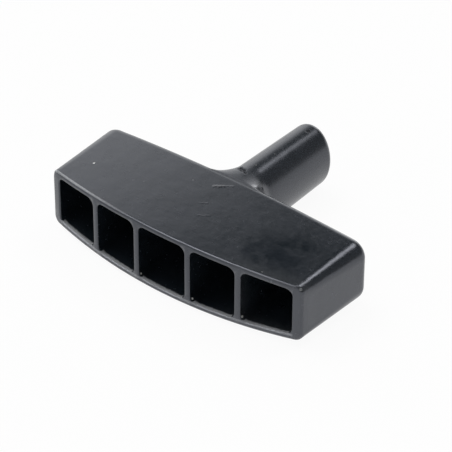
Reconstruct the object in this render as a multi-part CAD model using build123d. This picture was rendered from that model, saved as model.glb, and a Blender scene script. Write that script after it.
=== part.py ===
"""Starter handle: a one-piece moulded T grip for a pull-start rope.

A crowned bar with a bowed, cored front and an oval stem behind it. The stem flares out to meet the bar. The
rope comes in through the end of the stem, and its knot sits in the chamber behind the middle pocket.

X runs along the bar, +Y points out of the stem along the rope, Z is up. The origin is the middle of the
stem's flat end. All sizes are in millimetres.
"""
from build123d import *
import os
from math import cos, pi, radians, sin, sqrt, tan

# Bar
bar_depth = 33.5              # from the middle of the bowed front to the flat back
bow_rise = 6.0                # how far the front corners sit behind the middle of the front
middle_height = 21.6          # at the depth of the front corners
back_height = 22.8            # at the back, where the draft has opened the bar out
crown_drop = 1.65             # how much the top and bottom fall from the middle to the front corners
end_lean = 1.9                # how far each end leans out on its way to the back
front_end_radius = 2.7        # long edges of each end, at the front corners
back_end_radius = 5.1         # the same edges, at the back
front_rim_break = 0.6
back_rim_radius = 2.5
back_land = 2.8               # last stretch before the back, which has no draft

# Pockets, measured on the front
middle_pocket = 16.2
inner_pocket = 14.2
outer_pocket = 15.2
partition = 2.2               # between two pockets
end_wall = 3.1                # outside the outer pockets
rim_wall = 1.9                # above and below the pockets
pocket_corner_radius = 2.2
pocket_lip_break = 0.35
pocket_floor_break = 0.8
pocket_draft = 1.0            # degrees a side
back_wall = 3.0

# Stem
stem_length = 37.0            # from the back of the bar to the stem's flat end
root_width = 15.9             # where the stem would meet the bar without its flare
end_width = 14.4
stem_shoulder = 0.45          # how much lower than the bar's back the stem is, at its root
stem_taper = 0.6              # how much the stem's top and bottom come in towards the end
tip_radius = 2.4
flare_radius = 8.0            # in plan, on both sides of the root
flare_turn = 86               # degrees that the flare's outline turns before it meets the back
flare_sink = 0.3              # how deep inside the back it would run out flat
root_squareness = 3.0         # exponent of the root's section, 2 is an ellipse
squareness_growth = 1.5       # how late the flare turns from an ellipse to that section

# Rope bore and knot chamber
rope_bore = 5.0               # diameter
bore_mouth_break = 0.8
knot_seat = 0.8               # chamfer that the knot pulls against
stem_wall = 3.0
knot_wall = 6.0               # thickness of the stem's end

# How the shapes are drawn
oval_points = 16              # points that a stem section is drawn through
curve_steps = 4               # steps between the sections of a rounded outline
run_out = 1.0                 # how far a cutting shape reaches past what it cuts

y_back = -stem_length
y_front = y_back - bar_depth
y_corner = y_front + bow_rise
y_floor = y_back - back_wall
front_half = middle_pocket / 2 + inner_pocket + outer_pocket + 2 * partition + end_wall
back_half = front_half + end_lean
crown_radius = (front_half ** 2 + crown_drop ** 2) / (2 * crown_drop)
bow_radius = (front_half ** 2 + bow_rise ** 2) / (2 * bow_rise)
root_height = back_height - 2 * stem_shoulder
end_height = root_height - 2 * stem_taper

along_y = (0, 1, 0)


def between(y, at_corner, at_back):
    """A size that changes evenly from the front corners to the back's straight stretch."""
    return at_corner + (at_back - at_corner) * (y - y_corner) / (y_back - back_land - y_corner)


def half_height(x, y):
    """Height of the crowned top above the middle plane."""
    return between(y, middle_height, back_height) / 2 - crown_radius + sqrt(crown_radius ** 2 - x ** 2)


def bow_y(x):
    """Depth of the bowed front."""
    return y_front + bow_radius - sqrt(bow_radius ** 2 - x ** 2)


def front_view(y):
    """Plane that faces the front of the handle, at one depth."""
    return Plane.XZ.offset(-y)


def bar_section(y):
    """Outline of the bar at one depth: straight ends between two shallow arcs, with round corners."""
    half = between(y, front_half, back_half)
    edges = []
    for side in (1, -1):
        points = [(x, side * half_height(x, y)) for x in (-half, 0, half)]
        edges.append(ThreePointArc(*points))
    for x in (-half, half):
        edges.append(Line((x, -half_height(x, y)), (x, half_height(x, y))))
    outline = make_face(edges)
    return front_view(y) * fillet(outline.vertices(), between(y, front_end_radius, back_end_radius))


def bow_profile():
    """Plan of everything behind the bowed front."""
    reach = back_half + run_out
    front = ThreePointArc((-reach, bow_y(reach)), (0, y_front), (reach, bow_y(reach)))
    sides = Polyline((reach, bow_y(reach)), (reach, y_back), (-reach, y_back), (-reach, bow_y(reach)))
    return make_face([front, sides])


def bar_body():
    """The bar without its pockets: crowned, widening to the back, with its front cut to the bow."""
    back_section = bar_section(y_back - back_land)
    body = loft([bar_section(y_front - run_out), back_section], ruled=True)
    body += extrude(back_section, amount=back_land, dir=along_y)
    body = body & extrude(bow_profile(), back_height, both=True)
    back = body.faces().sort_by(Axis.Y)[-1]
    body = fillet(back.edges(), back_rim_radius)
    front = body.faces().sort_by(Axis.Y)[0]
    return chamfer(front.edges(), front_rim_break)


def pocket(left, right):
    """Core of one pocket: flat drafted sides that follow the crown, round corners and a flat floor."""
    left_reach = half_height(left, y_corner) - rim_wall
    right_reach = half_height(right, y_corner) - rim_wall
    left_side = [(left, -left_reach), (left, left_reach)]
    right_side = [(right, right_reach), (right, -right_reach)]
    mouth = front_view(y_corner) * make_face(Polyline(*left_side, *right_side, close=True))
    core = extrude(mouth, amount=y_floor - y_corner, dir=along_y)
    core += extrude(mouth, amount=-(bow_rise + run_out), dir=along_y)
    sides = core.faces().filter_by(Axis.Y, reverse=True)
    core = draft(sides, front_view(y_corner), -pocket_draft)
    floor = core.faces().sort_by(Axis.Y)[-1]
    mouth = core.faces().sort_by(Axis.Y)[0]
    core = fillet(core.edges() - floor.edges() - mouth.edges(), pocket_corner_radius)
    floor = core.faces().sort_by(Axis.Y)[-1]
    return chamfer(floor.edges(), pocket_floor_break)


def pocket_spans():
    """Left and right sides of the five pockets, mirrored about the middle."""
    spans = [(-middle_pocket / 2, middle_pocket / 2)]
    edge = middle_pocket / 2
    for width in (inner_pocket, outer_pocket):
        left = edge + partition
        edge = left + width
        spans += [(left, edge), (-edge, -left)]
    return sorted(spans)


def oval(y, width, height, squareness=2):
    """Section of the stem at one depth, from an ellipse to a rounder-cornered oval."""
    points = []
    for step in range(oval_points):
        turn = 2 * pi * (step + 0.5) / oval_points
        reach = (abs(cos(turn)) ** squareness + abs(sin(turn)) ** squareness) ** (-1 / squareness)
        points.append((width / 2 * reach * cos(turn), height / 2 * reach * sin(turn)))
    return front_view(y) * make_face(Spline(*points, periodic=True))


def flare_section(turn):
    """Section of the flare where its outline in plan has turned by an angle from the stem's side."""
    behind = flare_radius * (1 - sin(turn)) - flare_sink
    along = behind / stem_length
    width = root_width + (end_width - root_width) * along + 2 * flare_radius * (1 - cos(turn))
    height = root_height + (end_height - root_height) * along
    squareness = 2 + (root_squareness - 2) * sin(turn) ** squareness_growth
    return oval(y_back + behind, width, height, squareness)


def tip_section(turn):
    """Section of the rounded end where its outline has turned by an angle from the stem's side."""
    ahead = tip_radius * (1 - sin(turn))
    inset = tip_radius * (1 - cos(turn))
    along = 1 - ahead / stem_length
    width = root_width + (end_width - root_width) * along - 2 * inset
    height = root_height + (end_height - root_height) * along - 2 * inset
    return oval(-ahead, width, height)


def stem_body():
    """Oval stem with a rounded end, and the flare that joins it to the bar."""
    flare_sections = []
    tip_sections = []
    for step in range(curve_steps + 1):
        flare_sections.append(flare_section(radians(flare_turn) * step / curve_steps))
        tip_sections.append(tip_section(pi / 2 * step / curve_steps))
    seat = extrude(flare_sections[-1], amount=back_rim_radius, dir=(0, -1, 0))
    flare = loft(flare_sections[::-1])
    shank = loft([flare_sections[0], tip_sections[0]], ruled=True)
    tip = loft(tip_sections)
    return seat + flare + shank + tip


def knot_chamber():
    """Slot that runs from the floor of the middle pocket to the stem's end wall."""
    walls = 2 * stem_wall
    slot = Rot(0, 0, 90) * SlotOverall(end_height - walls, end_width - walls)
    y_start = y_floor - run_out
    return extrude(front_view(y_start) * slot, amount=-knot_wall - y_start, dir=along_y)


def rope_passage():
    """Bore through the stem's end wall, opening out where the knot seats."""
    radius = rope_bore / 2
    bore = Cylinder(radius, knot_wall + run_out, align=(Align.CENTER, Align.CENTER, Align.MIN))
    seat = Cone(radius + knot_seat, radius, knot_seat, align=(Align.CENTER, Align.CENTER, Align.MIN))
    along_rope = Plane(origin=(0, -knot_wall, 0), x_dir=(1, 0, 0), z_dir=(0, 1, 0))
    return along_rope * (bore + seat)


def handle():
    """The whole moulding."""
    body = bar_body() + stem_body()
    body -= [pocket(left, right) for left, right in pocket_spans()]
    front = body.faces().sort_by(Axis.Y)[0]
    mouths = [edge for wire in front.inner_wires() for edge in wire.edges()]
    body = chamfer(mouths, pocket_lip_break)
    body -= knot_chamber()
    body -= rope_passage()
    tip = body.faces().sort_by(Axis.Y)[-1]
    return chamfer(tip.inner_wires()[0].edges(), bore_mouth_break)


os.makedirs("parts", exist_ok=True)
moulding = handle()
moulding.label = "handle_moulding"
export_step(moulding, "parts/handle_moulding.step")
bore_wall = knot_wall - knot_seat - bore_mouth_break
print(f"volume {moulding.volume / 1000:.1f} ml, straight wall of the rope bore {bore_wall:.2f} mm long")
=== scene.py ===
"""Starter handle: the finish of the black moulding, a pale floor, soft studio light and the camera.

The handle stands in the CAD's frame: X runs along the bar, +Y points out of the stem and Z is up. Places of
marks on it are given in millimetres.
"""
from math import cos, pi, radians, sin

import bmesh
import bpy
from mathutils import Matrix, Vector


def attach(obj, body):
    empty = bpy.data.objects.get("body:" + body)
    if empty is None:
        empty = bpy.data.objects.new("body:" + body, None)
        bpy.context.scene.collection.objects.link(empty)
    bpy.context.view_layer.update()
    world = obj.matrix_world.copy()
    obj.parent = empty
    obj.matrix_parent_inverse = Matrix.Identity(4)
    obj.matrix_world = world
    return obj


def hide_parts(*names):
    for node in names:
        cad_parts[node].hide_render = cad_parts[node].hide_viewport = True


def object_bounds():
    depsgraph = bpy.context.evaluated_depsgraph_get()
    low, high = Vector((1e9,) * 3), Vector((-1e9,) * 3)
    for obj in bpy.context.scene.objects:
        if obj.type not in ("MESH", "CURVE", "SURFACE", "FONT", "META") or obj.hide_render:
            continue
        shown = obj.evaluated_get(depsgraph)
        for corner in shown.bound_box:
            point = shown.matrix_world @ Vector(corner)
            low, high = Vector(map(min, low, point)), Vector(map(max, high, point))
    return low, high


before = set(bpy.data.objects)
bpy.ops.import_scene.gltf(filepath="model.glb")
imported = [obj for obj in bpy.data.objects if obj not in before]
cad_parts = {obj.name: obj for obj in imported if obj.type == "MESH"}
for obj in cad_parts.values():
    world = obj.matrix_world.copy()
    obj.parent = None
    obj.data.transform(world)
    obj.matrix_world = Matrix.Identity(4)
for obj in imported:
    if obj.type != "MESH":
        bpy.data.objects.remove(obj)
cad_low, cad_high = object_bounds()
scene = bpy.context.scene
scene.view_settings.view_transform = "Standard"


def metres(millimetres):
    return millimetres / 1000


def place_mm(x, y, z):
    """A place on the handle, given in millimetres."""
    return Vector((metres(x), metres(y), metres(z)))


# Camera, as it stood to the handle in the photograph

camera_azimuth = radians(38.54)     # from straight ahead of the bowed front, towards the right end
camera_elevation = radians(36.19)
camera_roll = radians(0.355)
camera_distance = metres(744.56)
camera_shift_right = metres(18.23)
camera_shift_up = metres(10.40)
camera_lens = 213.58                # in millimetres, as the sensor's width is
camera_sensor = 36
nearest_seen = metres(10)
farthest_seen = metres(20000)
aim = Vector((0, cad_low.y, 0))     # the middle of the bowed front


def place_camera():
    """The camera of the photograph's viewing angle."""
    turn = Matrix.Rotation(camera_azimuth, 3, "Z")
    turn = turn @ Matrix.Rotation(pi / 2 - camera_elevation, 3, "X")
    turn = turn @ Matrix.Rotation(camera_roll, 3, "Z")
    data = bpy.data.cameras.new("camera")
    data.lens = camera_lens
    data.sensor_width = camera_sensor
    data.clip_start = nearest_seen
    data.clip_end = farthest_seen
    camera = bpy.data.objects.new("camera", data)
    place = aim + turn @ Vector((camera_shift_right, camera_shift_up, camera_distance))
    camera.matrix_world = Matrix.Translation(place) @ turn.to_4x4()
    scene.collection.objects.link(camera)
    scene.camera = camera


# Nodes

class Nodes:
    """The nodes of one material or world, with short ways to add the common ones."""

    def __init__(self, owner):
        owner.use_nodes = True
        self.tree = owner.node_tree
        self.tree.nodes.clear()

    def add(self, kind, inputs=None, **settings):
        """A node with its settings and inputs, which are values or other nodes' outputs."""
        node = self.tree.nodes.new(kind)
        for name, value in settings.items():
            setattr(node, name, value)
        for name, value in (inputs or {}).items():
            if isinstance(value, bpy.types.NodeSocket):
                self.tree.links.new(value, node.inputs[name])
            else:
                node.inputs[name].default_value = value
        return node

    def math(self, operation, first, second=0.0):
        return self.add("ShaderNodeMath", {0: first, 1: second}, operation=operation).outputs[0]

    def plus(self, first, second):
        return self.math("ADD", first, second)

    def minus(self, first, second):
        return self.math("SUBTRACT", first, second)

    def times(self, first, second):
        return self.math("MULTIPLY", first, second)

    def strongest(self, factors):
        """The largest of several factors at each place."""
        result = factors[0]
        for factor in factors[1:]:
            result = self.math("MAXIMUM", result, factor)
        return result

    def vector(self, operation, first, second):
        """The vector that an operation makes of two vectors."""
        return self.add("ShaderNodeVectorMath", {0: first, 1: second}, operation=operation).outputs["Vector"]

    def measure(self, operation, first, second=(0, 0, 0)):
        """The number that an operation takes from one or two vectors."""
        return self.add("ShaderNodeVectorMath", {0: first, 1: second}, operation=operation).outputs["Value"]

    def axis(self, vector, name):
        """One part of a vector: X, Y or Z."""
        return self.add("ShaderNodeSeparateXYZ", {0: vector}).outputs[name]

    def ramp(self, value, low, high, start=0.0, end=1.0, smooth=True):
        """The value's run from low to high, turned into a run from start to end."""
        kind = "SMOOTHSTEP" if smooth else "LINEAR"
        inputs = {"Value": value, "From Min": low, "From Max": high, "To Min": start, "To Max": end}
        return self.add("ShaderNodeMapRange", inputs, interpolation_type=kind).outputs["Result"]

    def fade(self, distance, gone, full):
        """Nought at one distance and one at another, both in millimetres, with a soft run between them."""
        return self.ramp(distance, metres(gone), metres(full))

    def mix(self, factor, first, second):
        """The first colour, turned into the second by the factor."""
        # inputs 6 and 7, and output 2, are the node's sockets for colours
        return self.add("ShaderNodeMix", {0: factor, 6: first, 7: second}, data_type="RGBA").outputs[2]

    def noise(self, place, size, detail, roughness=0.5):
        """Noise whose lumps are about one size across, in millimetres."""
        inputs = {"Vector": place, "Scale": 1 / metres(size), "Detail": detail, "Roughness": roughness}
        return self.add("ShaderNodeTexNoise", inputs).outputs["Fac"]

    def bump(self, height, scale, normal=None):
        """Normals of a surface that stands out by its height, times a scale in millimetres."""
        inputs = {"Strength": 1.0, "Distance": metres(scale), "Height": height}
        if normal is not None:
            inputs["Normal"] = normal
        return self.add("ShaderNodeBump", inputs).outputs["Normal"]

    def surface(self, inputs):
        """The material's surface, from the inputs of its shader."""
        shader = self.add("ShaderNodeBsdfPrincipled", inputs).outputs[0]
        self.add("ShaderNodeOutputMaterial", {"Surface": shader})


def new_material(name):
    """A new material and its nodes."""
    material = bpy.data.materials.new(name)
    return material, Nodes(material)


# The handle's sizes

bow_rise = metres(6.0)              # how far the front corners sit behind the middle of the front
bow_half = metres(45.0)             # from the middle to a front corner
bow_radius = (bow_half ** 2 + bow_rise ** 2) / (2 * bow_rise)
crown_drop = metres(1.65)           # how much the top falls from the middle to a front corner
crown_radius = (bow_half ** 2 + crown_drop ** 2) / (2 * crown_drop)

# Colours and gloss of the finish

plastic_ior = 1.5
gloss_level = 0.92                  # how strongly the black plastic mirrors the room
matt_level = 0.3                    # the same for the pockets' walls
cool_tint = (0.87, 0.895, 1.0, 1)   # of what the black plastic mirrors
black_dark = (0.008, 0.012, 0.016, 1)
black_light = (0.011, 0.015, 0.020, 1)
front_grey = (0.030, 0.034, 0.038, 1)
# painted shade in the grooves of the scratches and the dents of the chips, pit and scuff
scar_shade_black = (0.002, 0.003, 0.004, 1)
# painted highlight along the front's upper edge and on its right front corner
edge_highlight_grey = (0.30, 0.31, 0.32, 1)
# painted highlight along the pockets' lower lips
lip_highlight_grey = (0.40, 0.41, 0.43, 1)
dust_white = (0.7, 0.7, 0.68, 1)
pocket_dark = (0.048, 0.080, 0.098, 1)
pocket_light = (0.062, 0.096, 0.118, 1)
least_roughness = 0.20              # its grain lets the black plastic vary between these two
most_roughness = 0.28
stem_roughness = 0.03               # more on the stem
dull_roughness = 0.8                # more where it is scarred
step_roughness = 0.55               # more in the step at the stem's root
polish_smoothness = 0.10            # less where it is polished
pocket_roughness = 0.5
edge_round = metres(0.5)            # radius that the broken edges are shaded with
edge_samples = 8

# Heights of the surface, in millimetres

wave_height = 0.045
grain_height = 0.0008
drawn_height = 0.018
dull_depth = 0.12
scratch_height = 0.10
pocket_grain_height = 0.01

# Round marks, each with its middle and radius in millimetres and its strength

flash_specks = [
    ((-7.9, -69.6, -7.8), 0.40, 1.0),
    ((10.6, -69.4, -7.8), 0.45, 1.0),
    ((26.9, -67.7, -7.1), 0.45, 1.0),
]
dust_specks = [
    ((-36.8, -55.9, 9.9), 0.42, 1.0),
    ((-22.0, -56.0, 10.6), 0.40, 0.06),
    ((-19.2, -54.6, 10.7), 0.35, 0.06),
    ((-8.4, -45.9, 11.2), 0.30, 0.15),
    ((32.3, -66.1, 9.9), 0.30, 0.15),
    ((0.5, -28.4, 10.8), 0.40, 0.12),
    ((1.1, -20.4, 10.6), 0.35, 0.10),
]
root_chips = [
    ((-2.0, -32.3, 10.6), 1.3, 1.0),
    ((-0.6, -33.0, 10.9), 1.2, 1.0),
    ((0.6, -33.6, 11.0), 0.8, 1.0),
]
root_pit = (6.8, -33.4, 8.0)
stem_scuff = (1.1, -4.7, 10.3)
polished_patch = (30.0, -57.0, 10.0)
# a painted highlight on the bar's right front corner
corner_highlight = [
    ((44.1, -64.2, 8.5), 0.55, 0.7),
]

# Thin marks on the top, each with its two ends and its width in millimetres and its strength

top_scratches = [
    ((-2.3, -45.0, 11.3), (0.9, -42.6, 11.3), 0.85, 1.0),
    ((-0.6, -43.7, 11.3), (2.9, -41.1, 11.3), 0.50, 0.6),
    ((-0.3, -53.5, 11.1), (2.1, -51.6, 11.1), 0.50, 0.2),
    ((2.8, -58.1, 10.95), (6.2, -55.5, 11.0), 0.50, 0.25),
]
root_step = [
    ((-10.0, -38.3, 11.1), (11.0, -38.3, 11.1), 1.3, 1.0),
]

# Marks without an even edge

scratch_sway = (-0.6, 0.8, 0)       # the way that the scratches wander, across their run
wear_unevenness = metres(4)         # how far the back edge of the rubbed front wanders
lip_raggedness = metres(0.8)        # how far the edge of the painted highlight on the pockets' lower lips wanders
flow_turn = radians(36)             # from the bar's length to the fine marks drawn across its top
flow_stretch = (0.15, 1, 1)         # slows their noise along them, so that they come out long


# Marks on the plastic

def spot(nodes, place, middle, radius, edge=0.5):
    """One inside a round mark and nought outside it, with a soft edge that is a share of its radius."""
    reach = nodes.measure("DISTANCE", place, place_mm(*middle))
    return nodes.fade(reach, gone=radius, full=radius * (1 - edge))


def spots(nodes, place, marks):
    """Several round marks, each as strong as its list says."""
    factors = []
    for middle, radius, strength in marks:
        factors.append(nodes.times(spot(nodes, place, middle, radius), strength))
    return nodes.strongest(factors)


def streak(nodes, place, start, end, width, core=0.7):
    """One along a thin mark, and nought away from it. Past its core, a share of its length, it fades."""
    start = place_mm(*start)
    end = place_mm(*end)
    half = (end - start).length / 2
    offset = nodes.vector("SUBTRACT", place, (start + end) / 2)
    run = nodes.measure("DOT_PRODUCT", offset, (end - start).normalized())
    reach = nodes.measure("LENGTH", offset)
    across = nodes.minus(nodes.times(reach, reach), nodes.times(run, run))
    across = nodes.math("SQRT", nodes.math("MAXIMUM", across, 0.0))
    beside = nodes.fade(across, gone=width, full=0)
    within = nodes.ramp(nodes.math("ABSOLUTE", run), half, half * core)
    return nodes.times(beside, within)


def streaks(nodes, place, marks):
    """Several thin marks, each as strong as its list says."""
    factors = []
    for start, end, width, strength in marks:
        factors.append(nodes.times(streak(nodes, place, start, end, width), strength))
    return nodes.strongest(factors)


def wandering(nodes, place, noise, reach, way=(1, 1, 1)):
    """The place, moved to and fro by a noise over a reach in millimetres, so that a mark comes out ragged."""
    shift = nodes.times(nodes.minus(noise, 0.5), metres(reach))
    return nodes.vector("ADD", place, nodes.vector("MULTIPLY", way, shift))


def sag(nodes, place, radius):
    """How far a shallow arc along the bar has fallen away from its middle."""
    along = nodes.axis(place, "X")
    return nodes.times(nodes.times(along, along), 0.5 / radius)


def behind_bow(nodes, place):
    """How far a place lies behind the bowed front."""
    front = nodes.plus(sag(nodes, place, bow_radius), cad_low.y)
    return nodes.minus(nodes.axis(place, "Y"), front)


def crowned_height(nodes, place, side):
    """Height of a place over the middle plane, with the crown's fall added. Side is -1 for the underside."""
    return nodes.plus(nodes.times(nodes.axis(place, "Z"), side), sag(nodes, place, crown_radius))


def front_wear(nodes, place):
    """Paler rubbed stretch along the front of the bar near its right end, uneven towards the back."""
    uneven = nodes.times(nodes.noise(place, size=4.0, detail=3.0), wear_unevenness)
    depth = nodes.plus(behind_bow(nodes, place), uneven)
    right = nodes.fade(nodes.axis(place, "X"), gone=12, full=34)
    return nodes.times(nodes.fade(depth, gone=9, full=1), right)


def upper_edge_highlight(nodes, place):
    """Painted highlight: a pale line along the upper edge of the bowed front, towards the left, and a pale
    spot on the right front corner.
    """
    top = nodes.fade(crowned_height(nodes, place, 1.0), gone=10.0, full=10.3)
    behind = behind_bow(nodes, place)
    front = nodes.times(nodes.fade(behind, gone=0.8, full=0.6), nodes.fade(behind, gone=0.1, full=0.35))
    left = nodes.fade(nodes.axis(place, "X"), gone=-8, full=-34)
    line = nodes.times(nodes.times(top, front), left)
    return nodes.strongest([line, spots(nodes, place, corner_highlight)])


def lower_lip_highlight(nodes, place):
    """Painted highlight: a ragged pale line along the lower lips of the pockets."""
    depth = crowned_height(nodes, place, -1.0)
    band = nodes.times(nodes.fade(depth, gone=9.45, full=9.2), nodes.fade(depth, gone=8.4, full=8.7))
    behind = behind_bow(nodes, place)
    ragged = nodes.times(nodes.noise(place, size=1.2, detail=3.0, roughness=0.7), lip_raggedness)
    shallow = nodes.fade(nodes.plus(behind, ragged), gone=2.0, full=1.3)
    fainter_in_front = nodes.ramp(behind, metres(-0.1), metres(0.35), start=0.35)
    between_ends = nodes.fade(nodes.math("ABSOLUTE", nodes.axis(place, "X")), gone=42.6, full=42.0)
    line = nodes.times(nodes.times(shallow, fainter_in_front), between_ends)
    return nodes.times(band, line)


def dull_marks(nodes, place):
    """Chips at the stem's root, the pit beside it and the scuff near the stem's end."""
    broken = nodes.ramp(nodes.noise(place, size=0.7, detail=2.0), low=0.42, high=0.50)
    chips = nodes.times(spots(nodes, place, root_chips), broken)
    ragged_place = wandering(nodes, place, nodes.noise(place, size=0.5, detail=2.0), reach=0.5)
    pit = spot(nodes, ragged_place, root_pit, radius=0.9, edge=0.8)
    scuff = spot(nodes, ragged_place, stem_scuff, radius=1.0)
    return nodes.strongest([chips, pit, scuff])


def scratch_marks(nodes, place):
    """Thin scratches across the top, each a little crooked."""
    crooked = nodes.noise(place, size=1.6, detail=3.0, roughness=0.6)
    return streaks(nodes, wandering(nodes, place, crooked, reach=2.0, way=scratch_sway), top_scratches)


def polished_top(nodes, place, blotches):
    """The cloudy patch near the right end of the top, where the plastic is rubbed smooth."""
    cloudy = nodes.noise(place, size=4.0, detail=4.0, roughness=0.6)
    patch = spot(nodes, wandering(nodes, place, cloudy, reach=16), polished_patch, radius=12.5, edge=0.8)
    return nodes.times(patch, nodes.ramp(blotches, low=0.32, high=0.58, start=0.35))


# The two finishes of the moulding

def black_colour(nodes, place, shaded_scars):
    """Black that is a little cloudy, paler where it is rubbed along the front, with painted shade in its
    scratches and scars, painted highlights along the front's upper edge and the pockets' lower lips, and
    specks of dust and flash.
    """
    cloud = nodes.noise(place, size=9.0, detail=3.0)
    colour = nodes.mix(nodes.ramp(cloud, low=0.35, high=0.65), black_dark, black_light)
    colour = nodes.mix(front_wear(nodes, place), colour, front_grey)
    # painted shade in the grooves of the scratches and the dents of the chips, pit and scuff
    colour = nodes.mix(shaded_scars, colour, scar_shade_black)
    # painted highlight along the upper edge of the front and on its right corner
    colour = nodes.mix(upper_edge_highlight(nodes, place), colour, edge_highlight_grey)
    # painted highlight along the pockets' lower lips
    colour = nodes.mix(lower_lip_highlight(nodes, place), colour, lip_highlight_grey)
    return nodes.mix(spots(nodes, place, flash_specks + dust_specks), colour, dust_white)


def black_roughness(nodes, place, dull, blotches):
    """A soft gloss, duller at the scars and in the step at the stem's root, clearer where it is polished."""
    grain = nodes.noise(place, size=1.4, detail=4.0, roughness=0.6)
    roughness = nodes.ramp(grain, 0.3, 0.7, least_roughness, most_roughness, smooth=False)
    roughness = nodes.plus(roughness, nodes.times(dull, dull_roughness))
    stem = nodes.fade(nodes.axis(place, "Y"), gone=-37.5, full=-30)
    roughness = nodes.plus(roughness, nodes.times(stem, stem_roughness))
    polished = polished_top(nodes, place, blotches)
    roughness = nodes.minus(roughness, nodes.times(polished, polish_smoothness))
    return nodes.plus(roughness, nodes.times(streaks(nodes, place, root_step), step_roughness))


def black_height(nodes, place, dull, scratched, blotches):
    """Height of the surface, in millimetres: waves, a fine grain, marks drawn across the bar, and scars."""
    waves = nodes.noise(place, size=7.0, detail=3.0)
    fine = nodes.noise(place, size=0.9, detail=3.0, roughness=0.6)
    height = nodes.plus(nodes.times(waves, wave_height), nodes.times(fine, grain_height))
    turned = {"Vector": place, "Rotation": (0, 0, -flow_turn), "Scale": flow_stretch}
    drawn_place = nodes.add("ShaderNodeMapping", turned).outputs[0]
    drawn = nodes.noise(drawn_place, size=0.9, detail=3.0, roughness=0.6)
    on_bar = nodes.fade(nodes.axis(place, "Y"), gone=-34.5, full=-37.5)
    uneven = nodes.times(nodes.plus(drawn, blotches), drawn_height)
    height = nodes.plus(height, nodes.times(uneven, on_bar))
    height = nodes.minus(height, nodes.times(dull, dull_depth))
    return nodes.plus(height, nodes.times(scratched, scratch_height))


def black_plastic():
    """Black moulding compound: a soft gloss with faint waves, scuffs and specks of dust, painted highlights
    along the front's upper edge and the pockets' lower lips, and painted shade in its scratches and scars.
    """
    material, nodes = new_material("black_plastic")
    place = nodes.add("ShaderNodeTexCoord").outputs["Object"]
    blotches = nodes.noise(place, size=3.5, detail=4.0, roughness=0.6)
    dull = dull_marks(nodes, place)
    scratched = scratch_marks(nodes, place)
    height = black_height(nodes, place, dull, scratched, blotches)
    round_edges = nodes.add("ShaderNodeBevel", {"Radius": edge_round}, samples=edge_samples).outputs[0]
    nodes.surface({
        "Base Color": black_colour(nodes, place, nodes.strongest([dull, scratched])),
        "Roughness": black_roughness(nodes, place, dull, blotches),
        "Normal": nodes.bump(height, scale=1, normal=round_edges),
        "IOR": plastic_ior,
        "Specular IOR Level": gloss_level,
        "Specular Tint": cool_tint,
    })
    return material


def pocket_plastic():
    """The same compound on the pockets' walls, matt from the cores and never polished."""
    material, nodes = new_material("pocket_plastic")
    place = nodes.add("ShaderNodeTexCoord").outputs["Object"]
    grain = nodes.noise(place, size=1.2, detail=4.0, roughness=0.6)
    colour = nodes.mix(grain, pocket_dark, pocket_light)
    # painted highlight along the pockets' lower lips
    colour = nodes.mix(lower_lip_highlight(nodes, place), colour, lip_highlight_grey)
    colour = nodes.mix(spots(nodes, place, flash_specks), colour, dust_white)
    nodes.surface({
        "Base Color": colour,
        "Roughness": pocket_roughness,
        "Normal": nodes.bump(grain, scale=pocket_grain_height),
        "IOR": plastic_ior,
        "Specular IOR Level": matt_level,
    })
    return material


# Floor and light

floor_radius = 3                    # in metres
floor_sides = 64
floor_grey = (0.9, 0.9, 0.9, 1)
plain_white = (1, 1, 1, 1)
floor_whiteness = 0.94              # share of the floor's look that is plain white and shows no shadow

horizon_width = radians(3)          # over which the white floor beyond the handle gives way to the room
room_dimness = 0.04

# Lights, each with its azimuth, its elevation, the angle it fills, the angle where it ends and its strength

walls = [
    (150, 12, 21, 38.5, 1.36),      # behind the handle, on the left
    (112, 8, 16, 35, 1.3),          # behind the handle, on the right
    (40, 10, 15, 50, 0.22),         # on the right, dim
    (250, 20, 20, 75, 0.7),         # on the left, wide
    (108, 2, 5, 15, 3.2),           # low down behind the handle, small and bright
]
lamps = [
    (184, 64, 9, 20, 5.0),          # over the left end
    (70, 57, 7, 14, 5.2),           # over the stem
    (0, 90, 5, 22, 1.5),            # straight overhead
]


def floor_paint():
    """White floor that keeps a faint shadow, and can be looked through from below."""
    material, nodes = new_material("floor_paint")
    paint = nodes.add("ShaderNodeBsdfDiffuse", {"Color": floor_grey}).outputs[0]
    white = nodes.add("ShaderNodeEmission", {"Color": plain_white, "Strength": 1.0}).outputs[0]
    clear = nodes.add("ShaderNodeBsdfTransparent").outputs[0]
    path = nodes.add("ShaderNodeLightPath").outputs
    seen = nodes.strongest([path["Is Camera Ray"], path["Is Glossy Ray"], path["Is Transmission Ray"]])
    share = nodes.times(seen, floor_whiteness)
    above = nodes.add("ShaderNodeMixShader", {0: share, 1: paint, 2: white}).outputs[0]
    from_below = nodes.add("ShaderNodeNewGeometry").outputs["Backfacing"]
    through = nodes.times(from_below, path["Is Camera Ray"])
    surface = nodes.add("ShaderNodeMixShader", {0: through, 1: above, 2: clear}).outputs[0]
    nodes.add("ShaderNodeOutputMaterial", {"Surface": surface})
    return material


def heading(azimuth, elevation):
    """Direction to one azimuth, in degrees from +X towards +Y, and elevation."""
    azimuth = radians(azimuth)
    elevation = radians(elevation)
    return Vector((cos(elevation) * cos(azimuth), cos(elevation) * sin(azimuth), sin(elevation)))


def soft_light(nodes, direction, azimuth, elevation, filled, ended, strength):
    """A round soft light in the room, full inside one angle from its middle and gone outside the other."""
    facing = nodes.measure("DOT_PRODUCT", direction, heading(azimuth, elevation))
    return nodes.ramp(facing, cos(radians(ended)), cos(radians(filled)), 0.0, strength)


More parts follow.
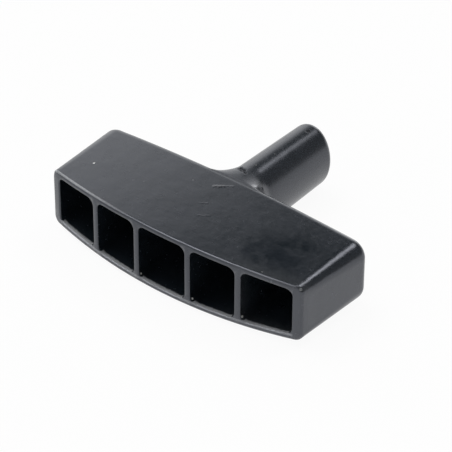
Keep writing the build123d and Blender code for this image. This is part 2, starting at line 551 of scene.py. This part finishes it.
def room():
    """Dim room with pale walls, a white floor and soft lamps. Where the camera sees it, it is plain white."""
    world = bpy.data.worlds.new("room")
    nodes = Nodes(world)
    direction = nodes.add("ShaderNodeTexCoord").outputs["Generated"]
    height = nodes.axis(direction, "Z")
    beyond_floor = nodes.ramp(height, sin(horizon_width), 0.0, start=room_dimness)
    wall_light = [soft_light(nodes, direction, *wall) for wall in walls]
    wall_light = nodes.strongest(wall_light + [beyond_floor])
    lamp_light = nodes.strongest([soft_light(nodes, direction, *lamp) for lamp in lamps])
    light = nodes.plus(wall_light, lamp_light)
    seen = nodes.add("ShaderNodeLightPath").outputs["Is Camera Ray"]
    strength = nodes.math("MAXIMUM", seen, nodes.times(light, nodes.minus(1.0, seen)))
    background = nodes.add("ShaderNodeBackground", {"Color": plain_white, "Strength": strength}).outputs[0]
    nodes.add("ShaderNodeOutputWorld", {"Surface": background})
    scene.world = world


# Pieces

crease_angle = radians(50)          # edges sharper than this stay sharp
merge_distance = metres(0.002)
lip_depth = metres(0.4)             # behind it, a pocket's walls are left as the cores made them
least_wall = metres(1.2)            # the walls above and below a pocket are thicker than this
least_end_wall = metres(1.5)        # and the bar's end walls are thicker than this
pocket_end = metres(-38.5)          # between the pockets' floors and the back of the bar


def in_pocket(face):
    """Whether a face is a wall or the floor of a pocket."""
    middle = face.calc_center_median()
    behind = middle.y - cad_low.y - 0.5 * middle.x ** 2 / bow_radius
    inside = abs(middle.x) < bow_half - least_end_wall and abs(middle.z) < cad_high.z - least_wall
    return inside and behind > lip_depth and middle.y < pocket_end


def moulding():
    """The handle: the CAD's own mesh with its facets joined, smooth all over apart from its sharp edges."""
    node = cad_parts["handle_moulding"]
    mesh = node.data.copy()
    mesh.name = "handle_skin"
    # the mesh comes with normals of its own, and even_normals works out new ones
    if "custom_normal" in mesh.attributes:
        mesh.attributes.remove(mesh.attributes["custom_normal"])
    shape = bmesh.new()
    shape.from_mesh(mesh)
    bmesh.ops.remove_doubles(shape, verts=shape.verts, dist=merge_distance)
    for face in shape.faces:
        face.smooth = True
        face.material_index = int(in_pocket(face))
    for edge in shape.edges:
        edge.smooth = len(edge.link_faces) == 2 and edge.calc_face_angle() < crease_angle
    shape.to_mesh(mesh)
    shape.free()
    mesh.materials.clear()
    mesh.materials.append(black_plastic())
    mesh.materials.append(pocket_plastic())
    piece = bpy.data.objects.new("handle_skin", mesh)
    scene.collection.objects.link(piece)
    weighted = piece.modifiers.new("even_normals", "WEIGHTED_NORMAL")
    weighted.keep_sharp = True
    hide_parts("handle_moulding")
    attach(piece, "root")


def floor():
    """A wide pale floor under the handle."""
    shape = bmesh.new()
    bmesh.ops.create_circle(shape, cap_ends=True, segments=floor_sides, radius=floor_radius)
    bmesh.ops.translate(shape, verts=shape.verts, vec=(0, 0, cad_low.z))
    mesh = bpy.data.meshes.new("floor")
    shape.to_mesh(mesh)
    shape.free()
    mesh.materials.append(floor_paint())
    piece = bpy.data.objects.new("floor", mesh)
    scene.collection.objects.link(piece)


place_camera()
moulding()
floor()
room()
